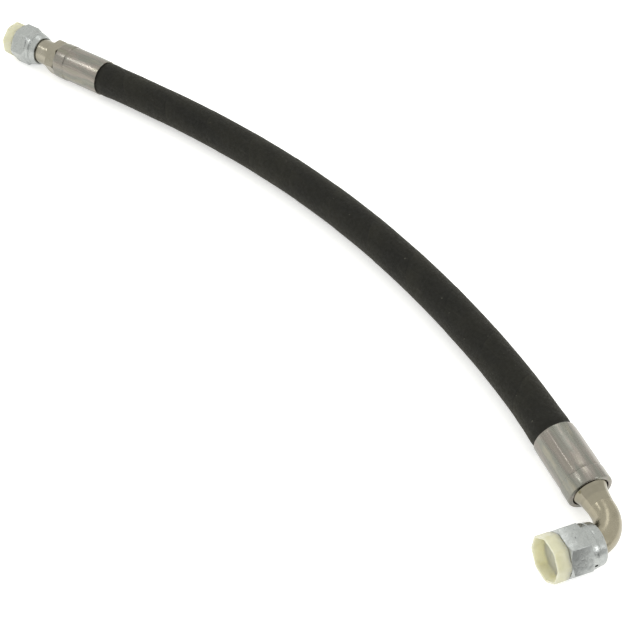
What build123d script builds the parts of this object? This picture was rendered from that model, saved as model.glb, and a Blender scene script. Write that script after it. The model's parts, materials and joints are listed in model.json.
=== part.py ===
from build123d import *
from math import radians, tan
import os

# Hydraulic hose assembly: a two-braid rubber hose of 16 mm nominal bore, crimped at one end to a
# straight swivel fitting and at the other to a 90 degree swivel elbow, each closed by a shipping plug.
# Millimetres. It lies flat: +Z is up, the bench is z = 0, and the straight fitting points along -X.

# hose, from the bore outwards
hose_bore = 15.9
inner_tube_wall = 1.9
braid_wall = 0.75
friction_wall = 0.3
cover_wall = 1.05

# crimped ferrules; a height along a fitting is counted from the ferrule's hose mouth outwards
ferrule_od = 27.4
ferrule_bore = 23.2
ferrule_length = 42.0
band_od = 28.2              # the uncrimped band at the fitting end
band_length = 9.4
band_slope = 0.6            # length of the slope between the crimped part and the band
band_edge = 1.2             # rounding of the band's outer edge
mouth_edge = 0.4
mouth_taper = 3.0           # bell at the mouth, where the squeezed hose grows to its free size
hose_grip = 34.0            # how far the hose reaches into a ferrule
lip_length = 3.4            # inward lip, crimped into the groove of the tail
recess_depth = 2.4          # open recess outside the lip
recess_od = 22.6
ridge_count = 8             # one ridge between two crimping dies
ridge_height = 0.12
ridge_width = 0.7
ridge_start = 1.0           # a ridge starts this far from the mouth, and ends this far from the band
bite_count = 5              # grooves in the bore, between the biting lands
bite_start = 2.0            # from the taper to the first groove
bite_width = 2.6
bite_depth = 0.5

# tails, the stems that go into the hose
stem_od = 16.6
stem_tip = 4.0              # the stem stops this far short of the mouth
stem_tip_edge = 0.6
barb_count = 7
barb_depth = 0.45
barb_rise = 0.75            # shares of a barb's pitch: where its slope ends, and where its crest ends
barb_crest = 0.9
barb_start = 1.0            # smooth length before the first barb, and after the last
flow_bore = 12.0
collar_od = 21.2
collar_gap = 0.2            # between the hose's end and the collar
groove_od = 18.4
lip_clearance = 0.05        # between the lip and the groove that it closes on
neck_od = 20.0

# straight fitting
wrench_hex_af = 24.0
wrench_hex_length = 8.2
wrench_hex_edge = 0.5       # chamfer at both ends of the wrench hexagon
hex_gap = 0.6               # between the ferrule's end and the wrench hexagon
shank_length = 12.3         # bare shank between the wrench hexagon and the swivel nut

# elbow fitting
tube_od = 16.0
bend_radius = 17.5          # centreline
elbow_angle = 90.0
tail_run = 7.4              # straight tube between the tail's cone and the bend
nose_run = 0.5              # straight tube between the bend and the nose
tail_cone_length = 5.5      # cone on the tail, outside the ferrule
tail_socket_depth = 0.6     # socket's floor, inside the ferrule's end
socket_wall = 0.7           # at the rim of a socket
socket_gap = 0.05           # radial room for braze between tube and socket
tail_braze_length = 1.2
nose_braze_length = 0.5
braze_waist = 0.22          # a fillet's thickness halfway along the tube
sleeve_length = 9.6
sleeve_socket = 4.2
sleeve_edge = 0.5

# swivel nut, 7/8-14 UNF inside; heights here are counted inwards from the nut's front face
nut_af = 27.0
nut_face_od = 26.8
nut_chamfer = 30.0          # degrees, on the corners of the hexagon
nut_collar_od = 26.2
nut_band_od = 25.6
nut_step_width = 0.8        # shallow groove between the two bands of the collar
nut_step_depth = 0.35
nut_step_slope = 0.4
straight_nut_length = 21.5
straight_nut_hex = 13.0
straight_nut_step = 15.9    # front face to the groove
straight_nut_rear_od = 23.0
straight_nut_turn = 180.0   # at rest, degrees about its axis
elbow_nut_length = 23.4
elbow_nut_hex = 14.0
elbow_nut_step = 17.6
elbow_nut_rear_od = 24.4
elbow_nut_turn = 4.0
nut_rear_round = 1.2
thread_minor = 20.5
thread_major = 22.2
thread_pitch = 25.4 / 14
thread_length = 11.0
nut_lead_in = 1.2
thread_runout = 0.8         # plain bore between the thread and the nose
thread_land = 0.15          # half of a crest or root, as a share of the pitch
rear_mouth_od = 21.8
rear_mouth_depth = 1.2
nose_od = 20.0
nose_depth = 11.5           # front face of the nut to the end of the nose
nose_cone_half_angle = 37.0
nose_rim = 0.8              # flat rim round the cone
nose_edge = 0.4
swivel_clearance = 0.08     # radial, nut bore on the nose

# retaining wire, in a round groove shared by nut and nose
wire_d = 1.8
wire_at = 16.0
wire_clearance = 0.1
wire_gap_angle = 24.0
wire_hole_d = 2.0           # the hole in the nut's collar that the wire is fed through

# shipping plug
plug_af = 26.2
plug_sides = 8
plug_corner = 4.0           # rounding of the head's upright corners
plug_head = 8.8
plug_wall = 1.3
plug_cavity = 7.0
plug_shank_length = 8.0
plug_shank_wall = 1.3
plug_rib_clearance = 0.15   # radial, between the ribs and the thread's crests
plug_rib_height = 0.25
plug_rib_count = 3
plug_rib_start = 1.0        # below the head
plug_rib_end = 0.5
plug_web = 1.2
plug_edge = 0.5

# where it lies
axis_height = band_od / 2
# route of the hose from the straight ferrule's mouth to the elbow ferrule's, x and y
hose_route = [
    (-203.5, 100.2),
    (-155.5, 100.2),
    (-91.5, 96.6),
    (-23.5, 86.8),
    (43.2, 69.8),
    (105.1, 46.6),
    (158.5, 21.2),
    (209.0, -8.1),
    (236.9, -29.0),
]

# radii of the hose's layers, free and squeezed between stem and ferrule
walls = [inner_tube_wall, braid_wall, friction_wall, braid_wall, cover_wall]
layers = ["hose_inner_tube", "hose_inner_braid", "hose_friction_layer", "hose_outer_braid", "hose_cover"]
squeeze = (ferrule_bore - stem_od) / 2 / sum(walls)
free_radii = [hose_bore / 2 + sum(walls[:i]) for i in range(len(walls) + 1)]
grip_radii = [stem_od / 2 + squeeze * sum(walls[:i]) for i in range(len(walls) + 1)]
lip_start = ferrule_length - recess_depth - lip_length
neck_start = ferrule_length - recess_depth


def turned(outline):
    """A solid turned about Z from its (radius, height) outline."""
    return revolve(make_face(Plane.XZ * Polyline(*outline, close=True)), Axis.Z)


def prism(across_flats, sides, low, high):
    """A prism along Z with a flat towards local +X and -X."""
    outline = RegularPolygon(across_flats / 2, sides, major_radius=False, rotation=180 / sides)
    return Pos(0, 0, low) * extrude(outline, high - low)


def frame(origin, outward):
    """A fitting's own frame: Z along its axis, away from the hose, and X up."""
    return Plane(origin=origin, x_dir=(0, 0, 1), z_dir=outward).location


def route_radii(points):
    """The largest arc that the two runs at each corner leave room for."""
    radii = []
    for before, corner, after in zip(points, points[1:], points[2:]):
        turn = (corner - before).get_angle(after - corner)
        shorter = min((corner - before).length, (after - corner).length)
        radii.append(0.45 * shorter / tan(radians(turn / 2)))
    return radii


def hose_layer(path, inner, outer, straight_end, elbow_end):
    """One layer: the free length, and at each end the squeezed length inside the ferrule."""
    end = turned([
        (grip_radii[inner], hose_grip),
        (grip_radii[outer], hose_grip),
        (grip_radii[outer], mouth_taper),
        (free_radii[outer], 0),
        (free_radii[inner], 0),
        (grip_radii[inner], mouth_taper),
    ])
    start = Plane(origin=path @ 0, z_dir=path % 0)
    ring = Circle(free_radii[outer]) - Circle(free_radii[inner])
    return sweep(start * ring, path=path) + straight_end * end + elbow_end * end


def ferrule():
    """Crimped shell: bell mouth, biting lands, die ridges, uncrimped band, lip and recess."""
    bore, body, band = ferrule_bore / 2, ferrule_od / 2, band_od / 2
    lip = groove_od / 2 + lip_clearance
    mouth = free_radii[-1]
    band_start = ferrule_length - band_length
    shell = turned([
        (mouth, 0),
        (body - mouth_edge, 0),
        (body, mouth_edge),
        (body, band_start - band_slope / 2),
        (band, band_start + band_slope / 2),
        (band, ferrule_length - band_edge),
        (band - 0.3 * band_edge, ferrule_length - 0.3 * band_edge),
        (band - band_edge, ferrule_length),
        (recess_od / 2, ferrule_length),
        (recess_od / 2, neck_start),
        (lip, neck_start),
        (lip, lip_start),
        (bore, lip_start),
        (bore, mouth_taper),
    ])
    first_bite = mouth_taper + bite_start
    pitch = (hose_grip - first_bite) / bite_count
    for i in range(bite_count):
        low = first_bite + i * pitch
        shell -= turned([
            (bore - bite_depth, low),
            (bore + bite_depth, low),
            (bore + bite_depth, low + bite_width),
            (bore - bite_depth, low + bite_width),
        ])
    ridge_length = band_start - band_slope / 2 - 2 * ridge_start
    ridge = Box(2 * ridge_height, ridge_width, ridge_length)
    ridge = chamfer(ridge.edges().filter_by(Axis.Z).group_by(Axis.X)[-1], ridge_height)
    for i in range(ridge_count):
        turn = Rot(0, 0, (i + 0.5) * 360 / ridge_count)
        shell += turn * Pos(body, 0, ridge_start + ridge_length / 2) * ridge
    return shell


def stem_outline():
    """Half of a tail's outline, from its tip to the outer side of the lip's groove."""
    crest, root, flow = stem_od / 2, stem_od / 2 - barb_depth, flow_bore / 2
    points = [(flow, stem_tip), (root - stem_tip_edge, stem_tip)]
    pitch = (hose_grip - stem_tip - 2 * barb_start) / barb_count
    for i in range(barb_count):
        low = stem_tip + barb_start + i * pitch
        points += [(root, low), (crest, low + barb_rise * pitch), (crest, low + barb_crest * pitch)]
    points += [
        (crest, hose_grip + collar_gap),
        (collar_od / 2, hose_grip + collar_gap),
        (collar_od / 2, lip_start),
        (groove_od / 2, lip_start),
        (groove_od / 2, neck_start),
        (neck_od / 2, neck_start),
    ]
    return points


def nose_outline(face):
    """The nose's outline from the shank, round the wire's groove, to the flow bore; the groove is cut later."""
    rim = nose_od / 2 - nose_rim
    cone_depth = (rim - flow_bore / 2) / tan(radians(nose_cone_half_angle))
    end = face - nose_depth
    return [
        (nose_od / 2, end - nose_edge),
        (nose_od / 2 - nose_edge, end),
        (rim, end),
        (flow_bore / 2, end - cone_depth),
    ]


def wire_groove(face, radius):
    """A torus at the wire's height, to cut its groove."""
    return Pos(0, 0, face - wire_at) * Torus(nose_od / 2, radius)


def straight_insert():
    hex_start = ferrule_length + hex_gap
    hex_end = hex_start + wrench_hex_length
    body = turned(stem_outline() + [(neck_od / 2, hex_end), *nose_outline(straight_reach)])
    hexagon = prism(wrench_hex_af, 6, hex_start, hex_end)
    corner = wrench_hex_af / 3 ** 0.5
    cut = wrench_hex_edge
    core = (flow_bore + neck_od) / 4
    hexagon &= turned([
        (core, hex_start),
        (corner - 2 * cut, hex_start),
        (corner, hex_start + cut),
        (corner, hex_end - cut),
        (corner - 2 * cut, hex_end),
        (core, hex_end),
    ])
    return body + hexagon - wire_groove(straight_reach, wire_d / 2 + wire_clearance)


def elbow_tail():
    cone_start = ferrule_length - tail_socket_depth
    cone_end = ferrule_length + tail_cone_length
    socket = tube_od / 2 + socket_gap
    return turned(stem_outline() + [
        (neck_od / 2, cone_start),
        (tube_od / 2 + socket_wall, cone_end),
        (socket, cone_end),
        (socket, cone_start),
        (flow_bore / 2, cone_start),
    ])


def braze_ring(low, rise):
    """A fillet of braze round the tube, from the face at the height low to low + rise."""
    tip = low + rise
    inner, outer = tube_od / 2, tube_od / 2 + socket_wall
    edge = Plane.XZ * ThreePointArc((outer, low), (inner + braze_waist, (low + tip) / 2), (inner, tip))
    foot = Plane.XZ * Polyline((inner, tip), (inner, low), (outer, low))
    return revolve(make_face([edge, foot]), Axis.Z)


def nose_sleeve():
    """The elbow's nose: tube socket at the rear, cone at the front, in the port's frame."""
    rear = -nose_depth - sleeve_length
    nose = turned([
        (tube_od / 2 + socket_gap, rear),
        (nose_od / 2 - sleeve_edge, rear),
        (nose_od / 2, rear + sleeve_edge),
        *nose_outline(0),
        (flow_bore / 2, rear + sleeve_socket),
        (tube_od / 2 + socket_gap, rear + sleeve_socket),
    ])
    return nose - wire_groove(0, wire_d / 2 + wire_clearance)


def swivel_nut(length, hex_length, step_at, rear_od):
    """Hexagon, two-band collar, thread rings and rear bore, in the port's frame."""
    corner = nut_af / 3 ** 0.5
    face, bore = nut_face_od / 2, nose_od / 2 + swivel_clearance
    drop = (corner - face) * tan(radians(nut_chamfer))
    minor, major = thread_minor / 2, thread_major / 2
    hexagon = prism(nut_af, 6, -hex_length, 0) & turned([
        (0, 0),
        (face, 0),
        (corner, -drop),
        (corner, drop - hex_length),
        (face, -hex_length),
        (0, -hex_length),
    ])
    floor = nut_band_od / 2 - nut_step_depth
    collar = turned([
        (0, -hex_length / 2),
        (nut_collar_od / 2, -hex_length / 2),
        (nut_collar_od / 2, -step_at),
        (floor, -step_at - nut_step_slope),
        (floor, -step_at - nut_step_width),
        (nut_band_od / 2, -step_at - nut_step_width - nut_step_slope),
        (rear_od / 2, -length),
        (0, -length),
    ])
    rear_edge = collar.edges().filter_by(GeomType.CIRCLE).group_by(Axis.Z)[0]
    nut = hexagon + fillet(rear_edge, min(nut_rear_round, (rear_od - rear_mouth_od) / 2))
    over = nut_lead_in      # the cut runs this far past both faces
    cut = [(0, over), (major + over, over), (major, 0), (minor, -nut_lead_in)]
    rings = int((thread_length - nut_lead_in) / thread_pitch)
    for i in range(rings):
        low = -nut_lead_in - i * thread_pitch
        cut += [
            (minor, low - thread_land * thread_pitch),
            (major, low - 0.5 * thread_pitch),
            (minor, low - (1 - thread_land) * thread_pitch),
        ]
    cut += [
        (minor, -nose_depth - thread_runout),
        (bore, -nose_depth - thread_runout),
        (bore, rear_mouth_depth - length),
        (rear_mouth_od / 2, -length),
        (rear_mouth_od / 2, -length - over),
        (0, -length - over),
    ]
    feed_hole = Rot(90, 0, 0) * Pos(0, -wire_at, 0) * Cylinder(
        wire_hole_d / 2, nut_af, align=(Align.CENTER, Align.CENTER, Align.MIN)
    )
    return nut - turned(cut) - wire_groove(0, wire_d / 2) - feed_hole


def retaining_wire():
    """Round wire bent to an open ring, in the port's frame."""
    gap = wire_gap_angle
    ring = revolve(Plane.XZ * (Pos(nose_od / 2, 0) * Circle(wire_d / 2)), Axis.Z, 360 - gap)
    return Pos(0, 0, -wire_at) * Rot(0, 0, gap / 2) * ring


def shipping_plug():
    """Eight-sided cup on a ribbed hollow shank, in the port's frame."""
    rib = thread_minor / 2 - plug_rib_clearance
    shank = rib - plug_rib_height
    inside = shank - plug_shank_wall
    cavity_floor = plug_head - plug_cavity
    web = cavity_floor - plug_web
    head = prism(plug_af, plug_sides, 0, plug_head)
    head = fillet(head.edges().filter_by(Axis.Z), plug_corner)
    head = fillet(head.edges().group_by(Axis.Z)[-1], plug_edge)
    cavity = prism(plug_af - 2 * plug_wall, plug_sides, cavity_floor, plug_head + plug_wall)
    cavity = fillet(cavity.edges().filter_by(Axis.Z), plug_corner - plug_wall)
    outline = [(0, cavity_floor), (shank, cavity_floor)]
    pitch = (plug_shank_length - plug_rib_start - plug_rib_end) / plug_rib_count
    flank = pitch / 5
    for i in range(plug_rib_count):
        low = -plug_rib_start - i * pitch
        outline += [(shank, low), (rib, low - flank), (rib, low - 2 * flank), (shank, low - 3 * flank)]
    outline += [
        (shank, plug_rib_end - plug_shank_length),
        (shank - plug_rib_end, -plug_shank_length),
        (inside, -plug_shank_length),
        (inside, web),
        (0, web),
    ]
    hollow = Cylinder(inside, 2 * web)
    return head - cavity - hollow + turned(outline)


# places
mouth_straight = Vector(*hose_route[0], axis_height)
mouth_elbow = Vector(*hose_route[-1], axis_height)
run_out = (mouth_elbow - Vector(*hose_route[-2], axis_height)).normalized()
port_way = run_out.rotate(Axis.Z, -elbow_angle)
straight_reach = ferrule_length + hex_gap + wrench_hex_length + shank_length + straight_nut_length
bend_leg = bend_radius * tan(radians(elbow_angle / 2))
elbow_drop = ferrule_length + tail_cone_length + tail_run + bend_leg
elbow_reach = nose_depth + sleeve_length + nose_run + bend_leg
corner_point = mouth_elbow + run_out * elbow_drop
straight_frame = frame(mouth_straight, (-1, 0, 0))
elbow_frame = frame(mouth_elbow, run_out)
straight_port = frame(mouth_straight - Vector(straight_reach, 0, 0), (-1, 0, 0))
elbow_port = frame(corner_point + port_way * elbow_reach, port_way)

nodes = {}

route = [Vector(x, y, axis_height) for x, y in hose_route]
radii = route_radii(route)
path = FilletPolyline(*route, radius=radii)
print("hose arcs, mm:", [round(r) for r in radii], "free length, mm:", round(path.length, 1))
for i, name in enumerate(layers):
    nodes[name] = hose_layer(path, i, i + 1, straight_frame, elbow_frame)

shell = ferrule()
nodes["straight_ferrule"] = straight_frame * shell
nodes["elbow_ferrule"] = elbow_frame * shell
nodes["straight_insert"] = straight_frame * straight_insert()
nodes["elbow_tail"] = elbow_frame * elbow_tail()

tube_start = mouth_elbow + run_out * (ferrule_length - tail_socket_depth)
tube_end_height = nose_depth + sleeve_length - sleeve_socket
tube_end = corner_point + port_way * (elbow_reach - tube_end_height)
tube_path = FilletPolyline(tube_start, corner_point, tube_end, radius=bend_radius)
tube_ring = Plane(origin=tube_start, z_dir=run_out) * (Circle(tube_od / 2) - Circle(flow_bore / 2))
nodes["elbow_tube"] = sweep(tube_ring, path=tube_path)
nodes["elbow_nose"] = elbow_port * nose_sleeve()
nodes["tail_braze"] = elbow_frame * braze_ring(ferrule_length + tail_cone_length, tail_braze_length)
nodes["nose_braze"] = elbow_port * braze_ring(-nose_depth - sleeve_length, -nose_braze_length)

straight_nut = swivel_nut(straight_nut_length, straight_nut_hex, straight_nut_step, straight_nut_rear_od)
elbow_nut = swivel_nut(elbow_nut_length, elbow_nut_hex, elbow_nut_step, elbow_nut_rear_od)
straight_turn = straight_port * Rot(0, 0, straight_nut_turn)
elbow_turn = elbow_port * Rot(0, 0, elbow_nut_turn)
for end, place, nut in (("straight", straight_turn, straight_nut), ("elbow", elbow_turn, elbow_nut)):
    nodes[f"{end}_swivel_nut"] = place * nut
    nodes[f"{end}_retaining_wire"] = place * retaining_wire()
    nodes[f"{end}_shipping_plug"] = place * shipping_plug()

os.makedirs("parts", exist_ok=True)
for name, solid in nodes.items():
    export_step(solid, f"parts/{name}.step")
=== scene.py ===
import json
import math
import bpy
from mathutils import Matrix, Vector, noise


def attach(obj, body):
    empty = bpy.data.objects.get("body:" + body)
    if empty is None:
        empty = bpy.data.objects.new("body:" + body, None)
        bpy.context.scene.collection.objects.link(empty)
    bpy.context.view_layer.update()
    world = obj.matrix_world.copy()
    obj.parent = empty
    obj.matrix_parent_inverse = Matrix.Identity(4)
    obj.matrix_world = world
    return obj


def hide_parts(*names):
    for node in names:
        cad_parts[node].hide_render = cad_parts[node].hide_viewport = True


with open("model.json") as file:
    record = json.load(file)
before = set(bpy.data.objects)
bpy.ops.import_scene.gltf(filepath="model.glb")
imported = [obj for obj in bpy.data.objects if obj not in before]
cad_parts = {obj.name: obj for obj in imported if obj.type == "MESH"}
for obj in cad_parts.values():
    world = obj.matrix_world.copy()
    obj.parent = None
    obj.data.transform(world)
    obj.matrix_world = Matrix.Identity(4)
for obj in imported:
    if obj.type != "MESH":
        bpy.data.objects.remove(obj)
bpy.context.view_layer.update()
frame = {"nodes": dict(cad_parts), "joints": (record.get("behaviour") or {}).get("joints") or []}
nodes = frame["nodes"]
joints = {joint["name"]: joint for joint in frame["joints"]}
mm = 0.001


# camera: stands past the elbow end and looks back along the hose
cameraView = {"place": (0.3037, -0.4795, 0.5395), "turn": (44.109, -3.938, 31.5), "lens": 65.14}

bpy.ops.object.select_all(action="DESELECT")
bpy.ops.object.camera_add(
    location=cameraView["place"],
    rotation=[math.radians(angle) for angle in cameraView["turn"]],
)
camera = bpy.context.object
camera.data.lens = cameraView["lens"]
camera.data.clip_start = 0.01
bpy.context.scene.camera = camera
print("camera placed")


# the hose's line, mouth of one ferrule to mouth of the other
hoseLine = {
    "route": [
        (-0.2035, 0.1002),
        (-0.1555, 0.1002),
        (-0.0915, 0.0966),
        (-0.0235, 0.0868),
        (0.0432, 0.0698),
        (0.1051, 0.0466),
        (0.1585, 0.0212),
        (0.2090, -0.0081),
        (0.2369, -0.0290),
    ],
    "height": 0.0141,
    "order": 3,
    "pointsPerPart": 64,
    "grip": 34 * mm,       # pushed into each ferrule
    "gripStep": 1 * mm,
    "landDepth": 5 * mm,   # the ferrule's first biting land, inside its mouth
}


def hosePoints(line):
    curve = bpy.data.curves.new("hoseLine", "CURVE")
    curve.dimensions = "3D"
    curve.resolution_u = line["pointsPerPart"]
    spline = curve.splines.new("NURBS")
    spline.points.add(len(line["route"]) - 1)
    for knot, (x, y) in zip(spline.points, line["route"]):
        knot.co = (x, y, line["height"], 1)
    spline.order_u = line["order"]
    spline.use_endpoint_u = True
    holder = bpy.data.objects.new("hoseLine", curve)
    bpy.context.scene.collection.objects.link(holder)
    bpy.context.view_layer.update()
    drawn = bpy.data.meshes.new_from_object(holder)
    points = [vertex.co.copy() for vertex in drawn.vertices]
    bpy.data.objects.remove(holder)
    return points


def withGrips(points, line):
    steps = round(line["grip"] / line["gripStep"])
    into = (points[0] - points[1]).normalized()
    outOf = (points[-1] - points[-2]).normalized()
    before = [points[0] + into * line["gripStep"] * i for i in range(steps, 0, -1)]
    after = [points[-1] + outOf * line["gripStep"] * i for i in range(1, steps + 1)]
    return before + points + after


freePoints = hosePoints(hoseLine)
freeLength = sum((b - a).length for a, b in zip(freePoints, freePoints[1:]))
hosePath = withGrips(freePoints, hoseLine)
cutLength = freeLength + 2 * hoseLine["grip"]
print("hose line:", len(hosePath), "points,", round(freeLength, 4), "m free,", round(cutLength, 4), "m cut")


# floor and light
room = {
    "floorSide": 8.0,
    "floorTone": (0.95, 0.95, 0.945, 1),
    "floorRoughness": 0.9,
    "floorGloss": 0.1,
    "floorGlow": 0.50,                  # a light table, so the object throws next to no shadow
    "air": (0.995, 1.0, 0.962, 1),
    "airStrength": 1.06,
    "darkSide": (0.85, -0.52, 0.10),    # the side of the studio with no wall lit
    "darkFrom": 0.62,                   # cosines between which it gets dark
    "darkTo": 0.93,
    "darkTone": 0.22,
    "backdrop": 1.0,                    # what the camera sees past the floor
}
lamps = [
    {"name": "overheadLamp", "place": (-0.35, 0.75, 1.4), "aim": (0, 0, 0), "size": 0.60, "power": 1.3},
    {"name": "rightLamp", "place": (1.45, -0.12, 0.74), "aim": (0.2, -0.05, 0), "size": 0.34, "power": 1.9},
    {"name": "frontLamp", "place": (-0.95, -0.45, 1.15), "aim": (0.2, -0.05, 0), "size": 0.15, "power": 1.1},
]

bpy.ops.object.select_all(action="DESELECT")
bpy.ops.mesh.primitive_plane_add(size=room["floorSide"], location=(0, 0, 0))
floor = bpy.context.object
floor.name = "floor"
paper = bpy.data.materials.new("floorPaper")
paper.use_nodes = True
paperShader = paper.node_tree.nodes["Principled BSDF"]
paperShader.inputs["Base Color"].default_value = room["floorTone"]
paperShader.inputs["Roughness"].default_value = room["floorRoughness"]
paperShader.inputs["Specular IOR Level"].default_value = room["floorGloss"]
paperShader.inputs["Emission Color"].default_value = room["floorTone"]
paperShader.inputs["Emission Strength"].default_value = room["floorGlow"]
floor.data.materials.append(paper)

air = bpy.data.worlds.new("studioAir")
air.use_nodes = True
sky = air.node_tree
background = sky.nodes["Background"]
background.inputs["Color"].default_value = room["air"]
direction = sky.nodes.new("ShaderNodeTexCoord")
facing = sky.nodes.new("ShaderNodeVectorMath")
facing.operation = "DOT_PRODUCT"
facing.inputs[1].default_value = room["darkSide"]
sky.links.new(direction.outputs["Generated"], facing.inputs[0])
shade = sky.nodes.new("ShaderNodeMapRange")
shade.interpolation_type = "SMOOTHSTEP"
shade.inputs["From Min"].default_value = room["darkFrom"]
shade.inputs["From Max"].default_value = room["darkTo"]
shade.inputs["To Min"].default_value = room["airStrength"]
shade.inputs["To Max"].default_value = room["airStrength"] * room["darkTone"]
sky.links.new(facing.outputs["Value"], shade.inputs["Value"])
rays = sky.nodes.new("ShaderNodeLightPath")
seen = sky.nodes.new("ShaderNodeMix")   # sockets 0, 2 and 3: share, first and second value
seen.inputs[3].default_value = room["backdrop"]
sky.links.new(rays.outputs["Is Camera Ray"], seen.inputs[0])
sky.links.new(shade.outputs["Result"], seen.inputs[2])
sky.links.new(seen.outputs[0], background.inputs["Strength"])
bpy.context.scene.world = air

for lamp in lamps:
    way = Vector(lamp["aim"]) - Vector(lamp["place"])
    turn = way.to_track_quat("-Z", "Y").to_euler()
    bpy.ops.object.light_add(type="AREA", location=lamp["place"], rotation=turn)
    light = bpy.context.object
    light.name = lamp["name"]
    light.data.shape = "DISK"
    light.data.size = lamp["size"]
    light.data.energy = lamp["power"]
bpy.context.scene.view_settings.view_transform = "Standard"
print("floor and", len(lamps), "lamps placed")


# finishes
noiseLow, noiseHigh = 0.3, 0.7   # nearly all of a noise's values lie between these
bandsPerUnit = 3.2               # of a Wave texture at scale 1


def startFinish(name):
    finish = bpy.data.materials.new(name)
    finish.use_nodes = True
    return finish, finish.node_tree, finish.node_tree.nodes["Principled BSDF"]


def place(tree, coordinate, heading=0.0, stretch=(1, 1, 1)):
    # local X of the result runs along the heading, in degrees on the bench
    source = tree.nodes.new("ShaderNodeTexCoord")
    turn = tree.nodes.new("ShaderNodeMapping")
    turn.vector_type = "TEXTURE"
    turn.inputs["Rotation"].default_value = (0, 0, math.radians(heading))
    tree.links.new(source.outputs[coordinate], turn.inputs["Vector"])
    scale = tree.nodes.new("ShaderNodeMapping")
    scale.inputs["Scale"].default_value = stretch
    tree.links.new(turn.outputs["Vector"], scale.inputs["Vector"])
    return scale.outputs["Vector"]


def cloud(tree, vector, scale, detail=3.0, roughness=0.55):
    texture = tree.nodes.new("ShaderNodeTexNoise")
    texture.inputs["Scale"].default_value = scale
    texture.inputs["Detail"].default_value = detail
    texture.inputs["Roughness"].default_value = roughness
    tree.links.new(vector, texture.inputs["Vector"])
    return texture.outputs["Fac"]


def ramp(tree, value, stops):
    shades = tree.nodes.new("ShaderNodeValToRGB")
    while len(shades.color_ramp.elements) < len(stops):
        shades.color_ramp.elements.new(0.5)   # its place comes below
    for element, (at, tone) in zip(shades.color_ramp.elements, stops):
        element.position = at
        element.color = (*tone, 1) if hasattr(tone, "__len__") else (tone, tone, tone, 1)
    tree.links.new(value, shades.inputs["Fac"])
    return shades.outputs["Color"]


def spread(tree, value, low, high):
    remap = tree.nodes.new("ShaderNodeMapRange")
    remap.inputs["From Min"].default_value = noiseLow
    remap.inputs["From Max"].default_value = noiseHigh
    remap.inputs["To Min"].default_value = low
    remap.inputs["To Max"].default_value = high
    tree.links.new(value, remap.inputs["Value"])
    return remap.outputs["Result"]


def blendTones(tree, share, first, second, mode="MIX"):
    # a Mix node's sockets 6 and 7, and its result 2, are the ones for colour
    mix = tree.nodes.new("ShaderNodeMix")
    mix.data_type = "RGBA"
    mix.blend_type = mode
    for socket, value in ((mix.inputs[0], share), (mix.inputs[6], first), (mix.inputs[7], second)):
        if hasattr(value, "is_output"):
            tree.links.new(value, socket)
        else:
            socket.default_value = value
    return mix.outputs[2]


def combineValues(tree, operation, first, second):
    node = tree.nodes.new("ShaderNodeMath")
    node.operation = operation
    for socket, value in zip(node.inputs, (first, second)):
        if hasattr(value, "is_output"):
            tree.links.new(value, socket)
        else:
            socket.default_value = value
    return node.outputs[0]


def bump(tree, height, distance, under=None):
    node = tree.nodes.new("ShaderNodeBump")
    node.inputs["Distance"].default_value = distance
    tree.links.new(height, node.inputs["Height"])
    if under is not None:
        tree.links.new(under, node.inputs["Normal"])
    return node.outputs["Normal"]


# plated steel: a cloudy passivated film, marks along or round the piece, small dark specks
def platedSteel(name, look, heading=0.0):
    finish, tree, shader = startFinish(name)
    around = place(tree, "Object", heading)
    film = cloud(tree, place(tree, "Object", heading, look["filmStretch"]), look["filmScale"], detail=4.0)
    tone = ramp(tree, film, look["film"])
    marks = cloud(tree, place(tree, "Object", heading, look["markStretch"]), 1.0, detail=2.0)
    tone = blendTones(tree, spread(tree, marks, 0.0, look["markTint"]), tone, look["markTone"], "MULTIPLY")
    specks = cloud(tree, around, look["speckScale"], detail=2.0)
    speckFull = look["speckEdge"] + look["speckSoftness"]
    speckMask = ramp(tree, specks, [(look["speckEdge"], 0.0), (speckFull, 1.0)])
    tone = blendTones(tree, speckMask, tone, look["speckTone"])
    tree.links.new(tone, shader.inputs["Base Color"])
    grain = cloud(tree, around, look["grainScale"], detail=3.0)
    filmRoughness = spread(tree, film, *look["filmRoughness"])
    roughness = combineValues(tree, "ADD", spread(tree, grain, *look["roughness"]), filmRoughness)
    tree.links.new(roughness, shader.inputs["Roughness"])
    shader.inputs["Metallic"].default_value = 1.0
    normal = bump(tree, marks, look["markDepth"])
    normal = bump(tree, grain, look["grainDepth"], normal)
    normal = bump(tree, film, look["filmDepth"], normal)
    tree.links.new(normal, shader.inputs["Normal"])
    return finish


ferruleLook = {
    "film": [(0.32, (0.262, 0.254, 0.208)), (0.45, (0.292, 0.264, 0.238)), (0.56, (0.238, 0.240, 0.214)),
             (0.70, (0.322, 0.302, 0.246))],
    "filmScale": 90.0,
    "filmStretch": (0.35, 1.5, 1.5),
    "markStretch": (25, 700, 700),   # drawn lines along the fitting
    "markTint": 0.40,
    "markTone": (0.62, 0.61, 0.58, 1),
    "markDepth": 0.00002,
    "speckScale": 900.0,
    "speckEdge": 0.70,
    "speckSoftness": 0.03,
    "speckTone": (0.20, 0.18, 0.16, 1),
    "grainScale": 2600.0,
    "grainDepth": 0.00002,
    "filmDepth": 0.00035,
    "roughness": (0.20, 0.32),
    "filmRoughness": (-0.04, 0.05),  # added by the film
}
stemLook = dict(
    ferruleLook,
    film=[(0.32, (0.335, 0.312, 0.252)), (0.5, (0.315, 0.292, 0.235)), (0.7, (0.365, 0.340, 0.280))],
    filmStretch=(1, 1, 1),
    markStretch=(900, 30, 30),       # turning marks round the fitting
    markTint=0.16,
    roughness=(0.16, 0.25),
    filmDepth=0.0002,
)
tubeLook = dict(
    stemLook,
    markStretch=(60, 60, 60),
    roughness=(0.20, 0.29),
    film=[(0.3, (0.300, 0.270, 0.198)), (0.5, (0.335, 0.304, 0.230)), (0.72, (0.270, 0.246, 0.186))],
)
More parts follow.
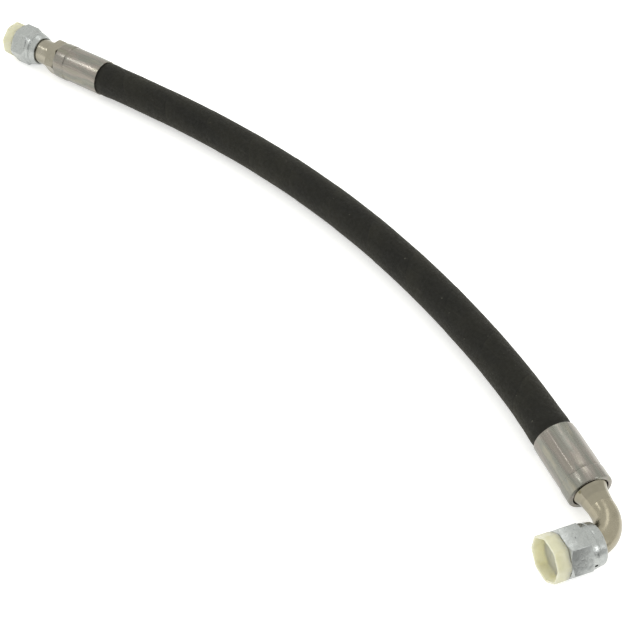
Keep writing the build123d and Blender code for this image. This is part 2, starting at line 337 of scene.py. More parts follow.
nutLook = dict(
    ferruleLook,
    film=[(0.30, (0.360, 0.376, 0.368)), (0.45, (0.440, 0.455, 0.448)), (0.56, (0.378, 0.394, 0.388)),
          (0.72, (0.495, 0.508, 0.500))],
    filmScale=260.0,
    filmStretch=(1, 1, 1),
    markStretch=(420, 60, 60),
    markTint=0.15,
    speckScale=420.0,                # sparse pits in the zinc
    speckEdge=0.74,
    speckTone=(0.16, 0.165, 0.17, 1),
    roughness=(0.24, 0.38),
    filmDepth=0.0003,
)
tailLook = dict(
    stemLook,
    film=[(0.32, (0.305, 0.280, 0.220)), (0.5, (0.275, 0.252, 0.196)), (0.7, (0.325, 0.300, 0.238))],
    roughness=(0.05, 0.10),
    filmDepth=0.00005,
    markDepth=0.00001,
)
brazeLook = dict(
    tubeLook,
    film=[(0.3, (0.300, 0.273, 0.207)), (0.5, (0.318, 0.291, 0.224)), (0.72, (0.287, 0.262, 0.199))],
    roughness=(0.12, 0.20),
)
wireLook = dict(stemLook, markStretch=(200, 200, 900), roughness=(0.22, 0.35))
print("looks ready")


# the cloth tape that the cover was cured in
tape = {
    "pitch": 41 * mm,
    "girth": math.pi * 25.4 * mm,   # once round the hose
}


def rubberCover(name):
    look = {
        "tones": [
            (0.28, (0.0042, 0.0042, 0.0034)),
            (0.50, (0.0075, 0.0074, 0.0056)),
            (0.74, (0.0190, 0.0182, 0.0120)),
        ],
        "cloudScale": 32.0,
        "heading": -17.0,           # of patches and scuffs: about the way that the hose runs
        # the tape's edges, in turns of the tape: a dark line, then a paler lap that fades
        "lap": [
            (0.0, 0.28), (0.012, 0.30), (0.03, 1.0), (0.16, 0.82), (0.55, 0.62), (0.985, 0.60), (1.0, 0.28),
        ],
        "lapTone": (0.0172, 0.0165, 0.0108, 1),
        "lapWander": 0.05,
        "wanderScale": 40.0,
        "patchStretch": (22, 90, 90),
        "patchShare": (0.0, 0.85),
        "scuffStretch": (14, 420, 420),
        "scuffMask": [(0.60, 0.0), (0.78, 0.55)],
        "scuffTone": (0.034, 0.033, 0.026, 1),
        "scuffDepth": 0.00012,
        "fleckScale": 330.0,
        "fleckMask": [(0.765, 0.0), (0.785, 0.8)],
        "fleckTone": (0.065, 0.063, 0.050, 1),
        "threadsPerMetre": 1250.0,
        "threadWander": 0.6,
        "tapeLean": 28.0,
        "weaveDepth": 0.00010,
        "lumpScale": 420.0,
        "lumpDepth": 0.00035,
        "roughness": (0.58, 0.80),
        "gloss": 0.24,
        "sheen": 0.07,
        "sheenRoughness": 0.45,
        "sheenTone": (0.60, 0.52, 0.30, 1),
    }
    finish, tree, shader = startFinish(name)
    body = place(tree, "Object")
    tone = ramp(tree, cloud(tree, body, look["cloudScale"], detail=6.0, roughness=0.62), look["tones"])
    wrap = tree.nodes.new("ShaderNodeTexCoord")
    sides = tree.nodes.new("ShaderNodeSeparateXYZ")
    tree.links.new(wrap.outputs["UV"], sides.inputs["Vector"])
    along = combineValues(tree, "MULTIPLY", sides.outputs["X"], 1 / tape["pitch"])
    around = combineValues(tree, "MULTIPLY", sides.outputs["Y"], 1 / tape["girth"])
    wander = cloud(tree, body, look["wanderScale"], detail=3.0)
    wander = spread(tree, wander, -look["lapWander"], look["lapWander"])
    turns = combineValues(tree, "ADD", combineValues(tree, "SUBTRACT", along, around), wander)
    lap = ramp(tree, combineValues(tree, "FRACT", turns, 0.0), look["lap"])
    lapTone = blendTones(tree, 1.0, lap, look["lapTone"], "MULTIPLY")
    lengthwise = place(tree, "Object", look["heading"], look["patchStretch"])
    patches = cloud(tree, lengthwise, 1.0, detail=3.0, roughness=0.6)
    tone = blendTones(tree, spread(tree, patches, *look["patchShare"]), tone, lapTone)
    lengthwise = place(tree, "Object", look["heading"], look["scuffStretch"])
    scuffs = cloud(tree, lengthwise, 1.0, detail=4.0, roughness=0.6)
    tone = blendTones(tree, ramp(tree, scuffs, look["scuffMask"]), tone, look["scuffTone"])
    flecks = cloud(tree, body, look["fleckScale"], detail=1.0)
    tone = blendTones(tree, ramp(tree, flecks, look["fleckMask"]), tone, look["fleckTone"])
    tree.links.new(tone, shader.inputs["Base Color"])
    # cloth tape leaves its weave in the rubber: two sets of threads, a little off square to the hose
    threadScale = look["threadsPerMetre"] / bandsPerUnit
    threads = []
    for direction in ("X", "Y"):
        wave = tree.nodes.new("ShaderNodeTexWave")
        wave.bands_direction = direction
        wave.inputs["Scale"].default_value = 1.0
        wave.inputs["Distortion"].default_value = look["threadWander"]
        wave.inputs["Detail"].default_value = 1.0
        leaning = place(tree, "UV", look["tapeLean"], (threadScale, threadScale, 1))
        tree.links.new(leaning, wave.inputs["Vector"])
        threads.append(wave.outputs["Fac"])
    weave = combineValues(tree, "MAXIMUM", *threads)
    lumps = cloud(tree, body, look["lumpScale"], detail=4.0, roughness=0.6)
    normal = bump(tree, weave, look["weaveDepth"])
    normal = bump(tree, lumps, look["lumpDepth"], normal)
    normal = bump(tree, scuffs, look["scuffDepth"], normal)
    tree.links.new(normal, shader.inputs["Normal"])
    tree.links.new(spread(tree, lumps, *look["roughness"]), shader.inputs["Roughness"])
    shader.inputs["Specular IOR Level"].default_value = look["gloss"]
    shader.inputs["Sheen Weight"].default_value = look["sheen"]
    shader.inputs["Sheen Roughness"].default_value = look["sheenRoughness"]
    shader.inputs["Sheen Tint"].default_value = look["sheenTone"]
    return finish


def plainRubber(name):
    look = {
        "mottleScale": 240.0,
        "mottleDepth": 0.0001,
        "tones": [(0.3, (0.012, 0.012, 0.012)), (0.7, (0.03, 0.03, 0.028))],
        "roughness": (0.5, 0.7),
    }
    finish, tree, shader = startFinish(name)
    mottle = cloud(tree, place(tree, "Object"), look["mottleScale"], detail=4.0)
    tree.links.new(ramp(tree, mottle, look["tones"]), shader.inputs["Base Color"])
    tree.links.new(spread(tree, mottle, *look["roughness"]), shader.inputs["Roughness"])
    tree.links.new(bump(tree, mottle, look["mottleDepth"]), shader.inputs["Normal"])
    return finish


def braidedWire(name):
    look = {
        "wiresPerMetre": 900.0,
        "lean": 54.7,               # the angle at which a braid neither lengthens nor shortens
        "bundlesPerMetre": 160.0,
        "depth": 0.0003,
        # dark end: painted shade in the grooves between the wires, where the pattern is low; light end: the
        # brass coating on the wires' crowns
        "tones": [(0.1, (0.16, 0.13, 0.08)), (0.7, (0.62, 0.52, 0.34))],   # brass-coated
        "roughness": (0.38, 0.24),
    }
    finish, tree, shader = startFinish(name)
    wireScale = look["wiresPerMetre"] / bandsPerUnit
    sets = []
    for lean in (look["lean"], -look["lean"]):
        wave = tree.nodes.new("ShaderNodeTexWave")
        wave.inputs["Scale"].default_value = 1.0
        wave.inputs["Distortion"].default_value = 0.0
        tree.links.new(place(tree, "UV", lean, (wireScale, wireScale, wireScale)), wave.inputs["Vector"])
        sets.append(wave.outputs["Fac"])
    checks = tree.nodes.new("ShaderNodeTexChecker")
    checks.inputs["Scale"].default_value = look["bundlesPerMetre"]
    checks.inputs["Color1"].default_value = (1, 1, 1, 1)
    checks.inputs["Color2"].default_value = (0, 0, 0, 1)
    tree.links.new(place(tree, "UV", look["lean"]), checks.inputs["Vector"])
    over = blendTones(tree, checks.outputs["Fac"], *sets)
    # the wires' height picks the colour too, so the grooves between them get painted shade
    tree.links.new(ramp(tree, over, look["tones"]), shader.inputs["Base Color"])
    tree.links.new(bump(tree, over, look["depth"]), shader.inputs["Normal"])
    tree.links.new(spread(tree, over, *look["roughness"]), shader.inputs["Roughness"])
    shader.inputs["Metallic"].default_value = 1.0
    return finish


def plugPlastic(name):
    look = {
        "tones": [(0.3, (0.430, 0.420, 0.322)), (0.55, (0.478, 0.468, 0.370)), (0.75, (0.402, 0.386, 0.282))],
        "milkScale": 110.0,
        "milkDepth": 0.0003,
        "grainScale": 1400.0,
        "grainDepth": 0.00003,
        "roughness": (0.30, 0.42),
        "milkiness": 0.75,
        "lightReach": 0.012,               # how far light runs inside the plastic
        "reachTint": (1.0, 0.93, 0.62),
    }
    finish, tree, shader = startFinish(name)
    body = place(tree, "Object")
    milk = cloud(tree, body, look["milkScale"], detail=3.0)
    tree.links.new(ramp(tree, milk, look["tones"]), shader.inputs["Base Color"])
    grain = cloud(tree, body, look["grainScale"], detail=2.0)
    tree.links.new(spread(tree, grain, *look["roughness"]), shader.inputs["Roughness"])
    normal = bump(tree, grain, look["grainDepth"], bump(tree, milk, look["milkDepth"]))
    tree.links.new(normal, shader.inputs["Normal"])
    shader.inputs["Subsurface Weight"].default_value = look["milkiness"]
    shader.inputs["Subsurface Radius"].default_value = look["reachTint"]
    shader.inputs["Subsurface Scale"].default_value = look["lightReach"]
    return finish


elbowHeading = math.degrees(math.atan2(hosePath[-1].y - hosePath[-2].y, hosePath[-1].x - hosePath[-2].x))
portHeading = elbowHeading - 90
finishes = {
    "straight_ferrule": platedSteel("straightFerrulePlating", ferruleLook),
    "elbow_ferrule": platedSteel("elbowFerrulePlating", ferruleLook, elbowHeading),
    "straight_insert": platedSteel("insertPlating", stemLook),
    "elbow_tail": platedSteel("tailPlating", tailLook, elbowHeading),
    "elbow_tube": platedSteel("tubePlating", tubeLook, elbowHeading),
    "elbow_nose": platedSteel("nosePlating", stemLook, portHeading),
    "tail_braze": platedSteel("tailBrazeMetal", brazeLook, elbowHeading),
    "nose_braze": platedSteel("noseBrazeMetal", brazeLook, portHeading),
    "straight_swivel_nut": platedSteel("straightNutZinc", nutLook),
    "elbow_swivel_nut": platedSteel("elbowNutZinc", nutLook, portHeading),
    "straight_retaining_wire": platedSteel("straightWireSteel", wireLook),
    "elbow_retaining_wire": platedSteel("elbowWireSteel", wireLook, portHeading),
}
plugFinish = plugPlastic("plugPolythene")
finishes["straight_shipping_plug"] = plugFinish
finishes["elbow_shipping_plug"] = plugFinish
for nodeName, finish in finishes.items():
    nodes[nodeName].material_slots[0].material = finish
print("finishes:", len(finishes))


# fittings: each is modelled upright at the origin, then stood in place; local Z runs out of it, local X up
weld = 1e-7            # corners nearer than this are one
hair = 0.001 * mm      # how close counts as the same place
facingUp = 0.9         # cosine


def fittingPlace(origin, outward, turn=0.0):
    outward = Vector(outward).normalized()
    up = Vector((0, 0, 1))
    columns = Matrix((up, outward.cross(up), outward)).transposed().to_4x4()
    return Matrix.Translation(origin) @ columns @ Matrix.Rotation(math.radians(turn), 4, "Z")


def putInPlace(piece, placing):
    bpy.ops.object.select_all(action="DESELECT")
    piece.select_set(True)
    bpy.context.view_layer.objects.active = piece
    piece.matrix_world = placing
    bpy.ops.object.transform_apply(location=True, rotation=True, scale=True)
    piece.data.update()


def inMetres(outline):
    return [(radius * mm, height * mm) for radius, height in outline]


def turnedPiece(name, outline, around, capped=False):
    # one circle, extruded and scaled from ring to ring of the (radius, height) outline
    bpy.ops.object.select_all(action="DESELECT")
    radius, height = outline[0]
    bpy.ops.mesh.primitive_circle_add(vertices=around, radius=radius, location=(0, 0, height))
    piece = bpy.context.object
    piece.name = name
    bpy.ops.object.transform_apply(location=True, rotation=True, scale=True)
    bpy.ops.object.mode_set(mode="EDIT")
    bpy.ops.mesh.select_mode(type="EDGE")
    bpy.ops.mesh.select_all(action="SELECT")
    if capped:
        bpy.ops.mesh.edge_face_add()
    rest = outline[1:] if capped else outline[1:] + outline[:1]
    for nextRadius, nextHeight in rest:
        bpy.ops.mesh.extrude_edges_move(TRANSFORM_OT_translate={"value": (0, 0, nextHeight - height)})
        scale = nextRadius / radius
        bpy.ops.transform.resize(value=(scale, scale, 1), center_override=(0, 0, nextHeight))
        radius, height = nextRadius, nextHeight
    if capped:
        bpy.ops.mesh.edge_face_add()
    bpy.ops.mesh.select_all(action="SELECT")
    bpy.ops.mesh.remove_doubles(threshold=weld)
    bpy.ops.mesh.normals_make_consistent(inside=False)
    bpy.ops.object.mode_set(mode="OBJECT")
    return piece


def pickFaces(piece, wanted):
    bpy.ops.object.mode_set(mode="EDIT")
    bpy.ops.mesh.select_mode(type="FACE")
    bpy.ops.mesh.select_all(action="DESELECT")
    bpy.ops.object.mode_set(mode="OBJECT")
    for face in piece.data.polygons:
        face.select = wanted(face)
    bpy.ops.object.mode_set(mode="EDIT")


def pickEdges(piece, wanted, sharperThan=0.0):
    bpy.ops.object.mode_set(mode="EDIT")
    bpy.ops.mesh.select_mode(type="EDGE")
    bpy.ops.mesh.select_all(action="DESELECT")
    bpy.ops.object.mode_set(mode="OBJECT")
    normals = {}
    for face in piece.data.polygons:
        for key in face.edge_keys:
            normals.setdefault(key, []).append(face.normal.copy())
    for edge in piece.data.edges:
        beside = normals[edge.key]
        first, second = (piece.data.vertices[i].co for i in edge.vertices)
        sharp = len(beside) == 2 and beside[0].angle(beside[1], 0.0) >= math.radians(sharperThan)
        edge.select = sharp and wanted(first, second)
    bpy.ops.object.mode_set(mode="EDIT")


def bevelPicked(width, segments):
    bpy.ops.mesh.bevel(
        offset=width,
        offset_type="OFFSET",
        segments=segments,
        affect="EDGES",
        clamp_overlap=True,
    )
    bpy.ops.object.mode_set(mode="OBJECT")


def combine(piece, other, operation):
    bpy.ops.object.select_all(action="DESELECT")
    piece.select_set(True)
    bpy.context.view_layer.objects.active = piece
    cut = piece.modifiers.new("combine", "BOOLEAN")
    cut.operation = operation
    cut.solver = "EXACT"
    cut.object = other
    bpy.ops.object.modifier_apply(modifier=cut.name)
    bpy.data.objects.remove(other)


def smooth(piece, angle):
    bpy.ops.object.select_all(action="DESELECT")
    piece.select_set(True)
    bpy.context.view_layer.objects.active = piece
    bpy.ops.object.shade_smooth_by_angle(angle=math.radians(angle))


def standFor(piece, nodeName, body):
    piece.data.materials.clear()
    piece.data.materials.append(finishes[nodeName])
    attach(piece, body)
    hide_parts(nodeName)


straightOut = (hosePath[0] - hosePath[1]).normalized()
elbowOut = (hosePath[-1] - hosePath[-2]).normalized()
ends = {
    "straight": {"mouth": freePoints[0], "out": straightOut, "nutTurn": 180.0, "ferruleTurn": 10.0},
    "elbow": {"mouth": freePoints[-1], "out": elbowOut, "nutTurn": 4.0, "ferruleTurn": 14.0},
}
for endName, end in ends.items():
    swivel = joints[endName + "_nut_swivel"]
    end["port"] = Vector(swivel["pos_m"])
    end["portOut"] = Vector(swivel["axis"])


# ferrules: a shell crimped by eight dies, each of which leaves a flatter face; a low ridge stands between two
ferrule = {
    "around": 192,
    "outline": [
        # outside: the mouth, then rings along the crimp for the dies to shape
        (12.72, 0.12), (12.90, 0.0), (13.45, 0.0), (13.63, 0.10), (13.70, 0.30), (13.70, 1.2), (13.70, 3.0),
        (13.70, 10.0), (13.70, 17.0), (13.70, 24.0), (13.70, 29.6), (13.70, 31.2),
        # a groove, and the uncrimped band
        (13.64, 31.6), (13.56, 31.85), (13.60, 32.05), (13.92, 32.32), (14.06, 32.55), (14.10, 32.85),
        (14.10, 40.70), (14.02, 41.25), (13.80, 41.65), (13.40, 41.92), (12.95, 42.0),
        # the lip, turned in over the tail's collar
        (11.58, 42.0), (11.40, 41.85), (11.30, 41.5), (11.30, 39.65), (9.25, 39.65),
        # inside, back to the mouth
        (9.25, 36.20), (11.60, 36.20), (11.60, 3.0),
    ],
    "dies": 8,
    "dieFrom": 1.2 * mm,
    "dieTo": 31.2 * mm,
    "dieFade": 2.0 * mm,     # each face runs out over this length at both ends
    "ridgeHeight": 0.20 * mm,
    "seamHeight": 0.13 * mm,   # metal pushed up between two dies
    "seamSharpness": 10,
    "sunk": 0.08 * mm,       # how far the middle of a die's face lies under the round
    "outside": 13.6 * mm,
}


def dieShape(point):
    # flatter than round: the radius grows with the square of the angle from the die's middle
    wedge = 2 * math.pi / ferrule["dies"]
    angle = (math.atan2(point.y, point.x) + wedge / 2) % wedge - wedge / 2
    share = abs(angle) / (wedge / 2)
    depth = min(point.z - ferrule["dieFrom"], ferrule["dieTo"] - point.z)
    fade = min(max(depth / ferrule["dieFade"], 0.0), 1.0)
    seam = ferrule["seamHeight"] * share ** ferrule["seamSharpness"]
    return fade * (ferrule["ridgeHeight"] * share * share + seam - ferrule["sunk"])


for endName, end in ends.items():
    shell = turnedPiece(endName + "FerruleShell", inMetres(ferrule["outline"]), ferrule["around"])
    for vertex in shell.data.vertices:
        radius = vertex.co.xy.length
        if radius > ferrule["outside"]:
            grown = 1 + dieShape(vertex.co) / radius
            vertex.co.x *= grown
            vertex.co.y *= grown
    smooth(shell, 32)
    putInPlace(shell, fittingPlace(end["mouth"], end["out"], end["ferruleTurn"]))
    standFor(shell, endName + "_ferrule", "hose_and_stems")
print("ferrules modelled")


# elbow's tail: the collar and the machined cone between ferrule and tube
tail = {
    "around": 128,
    "outline": [
        # outside: the collar that the ferrule's lip grips
        (10.55, 34.25), (10.60, 34.30), (10.60, 36.15), (9.20, 36.15), (9.20, 39.70), (10.75, 39.70),
        (11.00, 39.95), (11.00, 41.10),
        # the hollow cone down to the tube
        (10.86, 41.50), (10.50, 42.10), (10.05, 42.90), (9.60, 43.80), (9.26, 44.75), (9.04, 45.60),
        (8.90, 46.30), (8.79, 46.90), (8.69, 47.50),
        # socket and flow bore, back to the barbed end
        (8.05, 47.50), (8.05, 41.40), (6.0, 41.40), (6.0, 4.10), (6.10, 4.0), (7.25, 4.0),
    ],
    "barbs": 7,
    "barbFrom": 5.0,
    "barbPitch": 4.0,
    "barbRise": 0.75,       # shares of the pitch at which a barb has risen, and at which it drops
    "barbDrop": 0.90,
    "barbEnd": 34.25,
    "barbRoot": 7.85,
    "barbCrest": 8.30,
}
outline = list(tail["outline"])
for i in range(tail["barbs"]):
    low = tail["barbFrom"] + i * tail["barbPitch"]
    outline += [
        (tail["barbRoot"], low),
        (tail["barbCrest"], low + tail["barbRise"] * tail["barbPitch"]),
        (tail["barbCrest"], low + tail["barbDrop"] * tail["barbPitch"]),
    ]
outline.append((tail["barbCrest"], tail["barbEnd"]))
stem = turnedPiece("elbowTailTurned", inMetres(outline), tail["around"])
smooth(stem, 28)
putInPlace(stem, fittingPlace(ends["elbow"]["mouth"], elbowOut))
standFor(stem, "elbow_tail", "hose_and_stems")
print("tail modelled")


# braze at the tail's socket: it carries the cone's line on along the tube, and is plated over with it
braze = {
    "around": 128,
    "outline": [
        (8.00, 47.48), (8.69, 47.48), (8.59, 48.10), (8.49, 48.80), (8.39, 49.50), (8.29, 50.20),
        (8.20, 50.90), (8.12, 51.60), (8.06, 52.20), (8.00, 52.30),
    ],
}
fillet = turnedPiece("tailBrazeFillet", inMetres(braze["outline"]), braze["around"])
smooth(fillet, 28)
putInPlace(fillet, fittingPlace(ends["elbow"]["mouth"], elbowOut))
standFor(fillet, "tail_braze", "hose_and_stems")
print("braze modelled")


# swivel nuts: a turned blank with the flats milled off, so the corner chamfers are the blank's own cones
nut = {
    "around": 144,
    "flats": 27.0 * mm,
    "cornerRound": 0.30 * mm,
    "edge": 0.13 * mm,
    "edgeOutside": 12.9 * mm,    # edges farther out than this are rounded,
    "edgePast": 0.5 * mm,        # down to this far behind the hexagon
    "cutterLengths": 4,          # the six-sided cutter's length, in lengths of the nut
    # from here on radii and heights in millimetres
    "face": 13.2,                # where the front chamfer starts
    "slope": math.tan(math.radians(30)),
    "mouthLand": 0.25,
    "collar": 13.1,
    "band": 12.8,
    "grooveDepth": 0.35,
    "grooveEdge": (0.10, 0.15),  # across, along
    "grooveWall": 0.35,
    "grooveFloor": 0.45,
    "rearConeEnd": 1.54,         # the rear cone stops this far before the end, and a round follows
    "rearRound": (0.55, 1.10),   # across, along
    "rearRoundIn": 0.385,
    "rearRoundSteps": 6,
    "rearFaceIn": 0.605,
    "bore": 10.08,
    "boreStart": 12.3,
    "rearMouth": (10.42, 0.6),   # radius, depth
    "threadMinor": 10.25,
    "threadMajor": 11.1,
    "threadPitch": 25.4 / 14,
    # one turn of the thread: radius, and share of the pitch
    "threadForm": (("threadMinor", 0.85), ("threadMajor", 0.50), ("threadMinor", 0.15)),
    "threads": 5,
    "leadIn": 1.2,
    "feedHole": {"radius": 1.0 * mm, "height": -16.0 * mm, "sides": 24, "drill": 6 * mm},
}
nutSizes = {
    "straight": {"length": 21.5, "hexagon": 13.0, "groove": 15.9, "rear": 11.5},
    "elbow": {"length": 23.4, "hexagon": 14.0, "groove": 17.6, "rear": 12.2},
}


def nutOutside(sizes):
    length, hexagon, groove, rear = (sizes[key] for key in ("length", "hexagon", "groove", "rear"))
    corner = nut["flats"] / mm / math.sqrt(3)
    frontDrop = (corner - nut["face"]) * nut["slope"]
    rearDrop = (corner - nut["collar"]) * nut["slope"]
    edgeIn, edgeRun = nut["grooveEdge"]
    grooveBase = nut["band"] - nut["grooveDepth"]
    floorStart = groove + nut["grooveWall"]
    floorEnd = floorStart + nut["grooveFloor"]
    bandEdge = floorEnd + nut["grooveWall"]
    bandStart = bandEdge + edgeRun
    lean = (nut["band"] - rear) / (length - bandStart)
    outline = [
        (nut["threadMajor"] + nut["mouthLand"], 0.0), (nut["face"], 0.0),
        (corner, -frontDrop), (corner, rearDrop - hexagon), (nut["collar"], -hexagon),
        (nut["collar"], edgeRun - groove), (nut["collar"] - edgeIn, -groove),
        (grooveBase, -floorStart), (grooveBase, -floorEnd),
        (nut["band"] - edgeIn, -bandEdge), (nut["band"], -bandStart),
        (rear + lean * nut["rearConeEnd"], nut["rearConeEnd"] - length),
    ]
    across, along = nut["rearRound"]
    for i in range(1, nut["rearRoundSteps"]):
        angle = math.radians(90) * i / nut["rearRoundSteps"]
        radius = rear - nut["rearRoundIn"] + across * math.cos(angle)
        outline.append((radius, along * (1 - math.sin(angle)) - length))
    return outline + [(rear - nut["rearFaceIn"], -length)]


def nutInside(sizes):
    mouthRadius, mouthDepth = nut["rearMouth"]
    outline = [
        (mouthRadius, -sizes["length"]), (nut["bore"], mouthDepth - sizes["length"]),
        (nut["bore"], -nut["boreStart"]), (nut["threadMinor"], -nut["boreStart"]),
    ]
    for i in reversed(range(nut["threads"])):
        start = -nut["leadIn"] - i * nut["threadPitch"]
        outline += [(nut[radius], start - share * nut["threadPitch"]) for radius, share in nut["threadForm"]]
    return outline


def isUpright(first, second):
    return (first - second).xy.length < hair


for endName, end in ends.items():
    sizes = nutSizes[endName]
    edgeFloor = -sizes["hexagon"] * mm - nut["edgePast"]
    blank = turnedPiece(endName + "NutBody", inMetres(nutOutside(sizes) + nutInside(sizes)), nut["around"])
    bpy.ops.object.select_all(action="DESELECT")
    bpy.ops.mesh.primitive_cylinder_add(
        vertices=6,
        radius=nut["flats"] / math.sqrt(3),
        depth=nut["cutterLengths"] * sizes["length"] * mm,
    )
    flats = bpy.context.object
    bpy.ops.object.transform_apply(location=True, rotation=True, scale=True)
    pickEdges(flats, isUpright, sharperThan=30)
    bevelPicked(nut["cornerRound"], segments=3)
    combine(blank, flats, "INTERSECT")
    hole = nut["feedHole"]
    bpy.ops.object.select_all(action="DESELECT")
    bpy.ops.mesh.primitive_cylinder_add(
        vertices=hole["sides"],
        radius=hole["radius"],
        depth=hole["drill"],
        location=(0, -nut["collar"] * mm, hole["height"]),
        rotation=(math.radians(90), 0, 0),
    )
    combine(blank, bpy.context.object, "DIFFERENCE")
    pickEdges(
        blank,
        lambda first, second: min(first.xy.length, second.xy.length) > nut["edgeOutside"]
        and max(first.z, second.z) > edgeFloor,
        sharperThan=14,
    )
    bevelPicked(nut["edge"], segments=2)
    smooth(blank, 30)
    putInPlace(blank, fittingPlace(end["port"], end["portOut"], end["nutTurn"]))
    standFor(blank, endName + "_swivel_nut", endName + "_nut")
    print(endName, "nut:", len(blank.data.polygons), "faces")


# shipping plugs: a moulded eight-sided cup on a ribbed hollow shank
plug = {
    "sides": 8,
    "flats": 26.2 * mm,
    "corner": 4.0 * mm,
    "cornerSegments": 6,
    "height": 8.8 * mm,
    "wall": 1.3 * mm,
    "cavity": 7.0 * mm,
    "draft": 0.97,
    # width and segments of each rounded edge
    "rimRound": (0.40 * mm, 3),
    "floorRound": (1.1 * mm, 4),
    "footRound": (0.5 * mm, 3),
    # the shank's radii and heights in millimetres: hollow inside, then its tip
    "shank": [(8.55, -0.3), (8.55, -7.85), (8.70, -8.0), (9.35, -8.0), (9.70, -7.8), (9.85, -7.45)],
    "shankRadius": 9.85,
    "shankRoot": 0.9,            # sunk in the cup's floor
    "ribs": 3,
    "ribFrom": 1.0,
    "ribPitch": 2.17,
    "ribRadius": 10.10,
    "ribWidth": 1.30,
    "ribFlank": 0.34,
    "ribEdge": (0.06, 0.11),     # across, along
    "around": 96,
}


def shankOutline():
    outline = list(plug["shank"])
    edgeIn, edgeRun = plug["ribEdge"]
    for i in reversed(range(plug["ribs"])):
        top = -plug["ribFrom"] - i * plug["ribPitch"]
        foot = top - plug["ribWidth"]
        outline += [
            (plug["shankRadius"], foot),
            (plug["ribRadius"] - edgeIn, foot + plug["ribFlank"]),
            (plug["ribRadius"], foot + plug["ribFlank"] + edgeRun),
            (plug["ribRadius"], top - plug["ribFlank"] - edgeRun),
            (plug["ribRadius"] - edgeIn, top - plug["ribFlank"]),
            (plug["shankRadius"], top),
        ]
    return inMetres(outline + [(plug["shankRadius"], plug["shankRoot"])])


for endName, end in ends.items():
    halfSide = math.pi / plug["sides"]
    bpy.ops.object.select_all(action="DESELECT")
    bpy.ops.mesh.primitive_cylinder_add(
        vertices=plug["sides"],
        radius=plug["flats"] / 2 / math.cos(halfSide),
        depth=plug["height"],
        location=(0, 0, plug["height"] / 2),
        rotation=(0, 0, halfSide),
    )
    cup = bpy.context.object
    cup.name = endName + "PlugCup"
    bpy.ops.object.transform_apply(location=True, rotation=True, scale=True)
    pickEdges(cup, isUpright, sharperThan=30)
    bevelPicked(plug["corner"] * math.tan(halfSide), plug["cornerSegments"])
    pickFaces(cup, lambda face: face.normal.z > facingUp)
    bpy.ops.mesh.inset(thickness=plug["wall"])
    bpy.ops.mesh.extrude_region_move(TRANSFORM_OT_translate={"value": (0, 0, -plug["cavity"])})
    cavityFloor = plug["height"] - plug["cavity"]
    bpy.ops.transform.resize(value=(plug["draft"], plug["draft"], 1), center_override=(0, 0, cavityFloor))
    bpy.ops.object.mode_set(mode="OBJECT")
    rounds = {plug["height"]: plug["rimRound"], cavityFloor: plug["floorRound"], 0.0: plug["footRound"]}
    for level, (width, segments) in rounds.items():
        pickEdges(
            cup,
            lambda first, second: max(abs(first.z - level), abs(second.z - level)) < hair,
            sharperThan=30,
        )
        bevelPicked(width, segments)
    combine(cup, turnedPiece("shank", shankOutline(), plug["around"], capped=True), "UNION")
    smooth(cup, 35)
    putInPlace(cup, fittingPlace(end["port"], end["portOut"], end["nutTurn"]))
    standFor(cup, endName + "_shipping_plug", endName + "_plug")
    print(endName, "plug:", len(cup.data.polygons), "faces")


# hose: five layers, each a closed tube, the cover with the marks of its cloth wrap
hose = {
    "mouthTaper": 3 * mm,
    "coverAround": 96,
    "layerAround": 64,
    "coverStride": 1,     # one ring at each point of the line
    "layerStride": 4,
    "bulge": 0.40 * mm,   # swollen by the crimp, just outside each mouth
    "bulgeAt": 5 * mm,
    "bulgeWidth": 6 * mm,
    "tapeStep": 0.13 * mm,
    "tapeEdge": 0.035,    # share of a turn that the step takes
    "swell": 0.10 * mm,
    "swellScale": 38.0,
    "lump": 0.045 * mm,
    "lumpScale": 170.0,
}
hoseLayers = [
    # name, cad node, slot, free radii, gripped radii, millimetres
    ("hoseInnerTube", "hose_inner_tube", "inner_rubber", (7.95, 9.85), (8.30, 9.62)),
    ("hoseInnerBraid", "hose_inner_braid", "braid_wire", (9.85, 10.60), (9.62, 10.141)),
    ("hoseFriction", "hose_friction_layer", "inner_rubber", (10.60, 10.90), (10.141, 10.349)),
    ("hoseOuterBraid", "hose_outer_braid", "braid_wire", (10.90, 11.65), (10.349, 10.870)),
    ("hoseCover", "hose_cover", "cover_rubber", (11.65, 12.70), (10.870, 11.60)),
]


def smoothStep(share):
    share = min(max(share, 0.0), 1.0)
    return share * share * (3 - 2 * share)


def layerRadius(along, free, gripped):
    depth = max(-along, along - freeLength)
    share = min(max(depth / hose["mouthTaper"], 0.0), 1.0)
    return (free + (gripped - free) * share) * mm


def coverRelief(along, turn, spot):
    outside = min(along, freeLength - along)
    if outside <= 0:
        return 0.0
    fade = smoothStep(outside / hose["bulgeWidth"])
    away = (outside - hose["bulgeAt"]) / hose["bulgeWidth"]
    bulge = hose["bulge"] * math.exp(-away * away) * smoothStep(outside / hose["bulgeAt"])
    phase = (along / tape["pitch"] - turn) % 1.0
    step = hose["tapeStep"] * (smoothStep(phase / hose["tapeEdge"]) - phase)
    swell = hose["swell"] * noise.noise(spot * hose["swellScale"])
    lump = hose["lump"] * noise.noise(spot * hose["lumpScale"])
    return bulge + fade * (step + swell + lump)


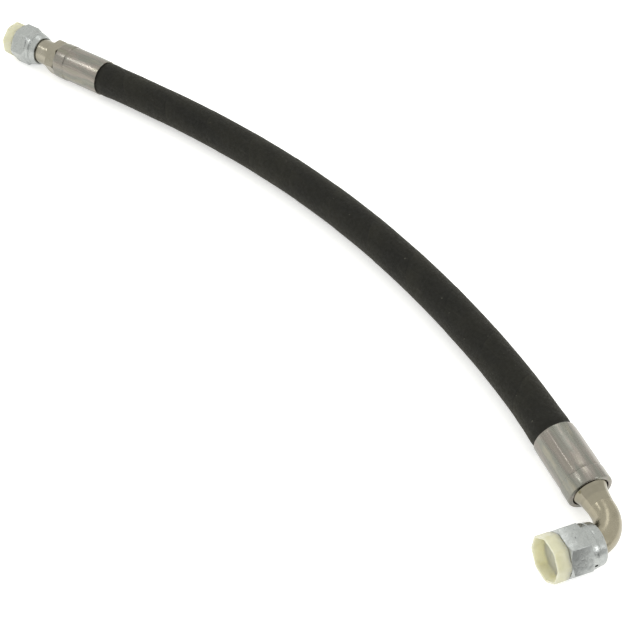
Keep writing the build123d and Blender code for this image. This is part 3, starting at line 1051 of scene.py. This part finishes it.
def hoseTube(name, free, gripped, around, stride, relief=None):
    vertices, faces, wraps = [], [], []
    along = -hoseLine["grip"]
    lengths = [along]
    for a, b in zip(hosePath, hosePath[1:]):
        along += (b - a).length
        lengths.append(along)
    last = len(hosePath) - 1
    coarse = sorted(set(range(0, last, hose["layerStride"])) | {last})
    fine = sorted(set(range(0, last, stride)) | {last})
    rows = [(i, free[1], gripped[1], relief) for i in fine]
    rows += [(i, free[0], gripped[0], None) for i in reversed(coarse)]
    for i, freeRadius, gripRadius, marks in rows:
        ahead = (hosePath[min(i + 1, last)] - hosePath[max(i - 1, 0)]).normalized()
        side = Vector((0, 0, 1)).cross(ahead)
        for k in range(around):
            angle = 2 * math.pi * k / around   # counted from the underside
            out = side * math.sin(angle) - Vector((0, 0, 1)) * math.cos(angle)
            radius = layerRadius(lengths[i], freeRadius, gripRadius)
            if marks:
                radius += marks(lengths[i], k / around, hosePath[i] + out * radius)
            vertices.append(hosePath[i] + out * radius)
        wraps.append(lengths[i])
    for row in range(len(rows)):
        following = (row + 1) % len(rows)
        for k in range(around):
            beside = (k + 1) % around
            here, there = row * around, following * around
            faces.append((here + k, there + k, there + beside, here + beside))
    mesh = bpy.data.meshes.new(name)
    mesh.from_pydata(vertices, [], faces)
    unrolled = mesh.uv_layers.new(name="wrap")
    for face in mesh.polygons:
        row, k = divmod(face.index, around)
        following = (row + 1) % len(rows)
        corners = ((row, k), (following, k), (following, k + 1), (row, k + 1))
        for loop, (ring, step) in zip(face.loop_indices, corners):
            unrolled.data[loop].uv = (wraps[ring], tape["girth"] * step / around)
    piece = bpy.data.objects.new(name, mesh)
    bpy.context.scene.collection.objects.link(piece)
    bpy.ops.object.select_all(action="DESELECT")
    piece.select_set(True)
    bpy.context.view_layer.objects.active = piece
    bpy.ops.object.mode_set(mode="EDIT")
    bpy.ops.mesh.select_all(action="SELECT")
    bpy.ops.mesh.normals_make_consistent(inside=False)
    bpy.ops.object.mode_set(mode="OBJECT")
    smooth(piece, 40)
    return piece


layerFinish = {
    "inner_rubber": plainRubber("innerRubber"),
    "braid_wire": braidedWire("braidWire"),
    "cover_rubber": rubberCover("coverRubber"),
}
for name, nodeName, slotName, free, gripped in hoseLayers:
    isCover = nodeName == "hose_cover"
    around = hose["coverAround"] if isCover else hose["layerAround"]
    stride = hose["coverStride"] if isCover else hose["layerStride"]
    piece = hoseTube(name, free, gripped, around, stride, coverRelief if isCover else None)
    piece.data.materials.append(layerFinish[slotName])
    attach(piece, "hose_and_stems")
    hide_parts(nodeName)
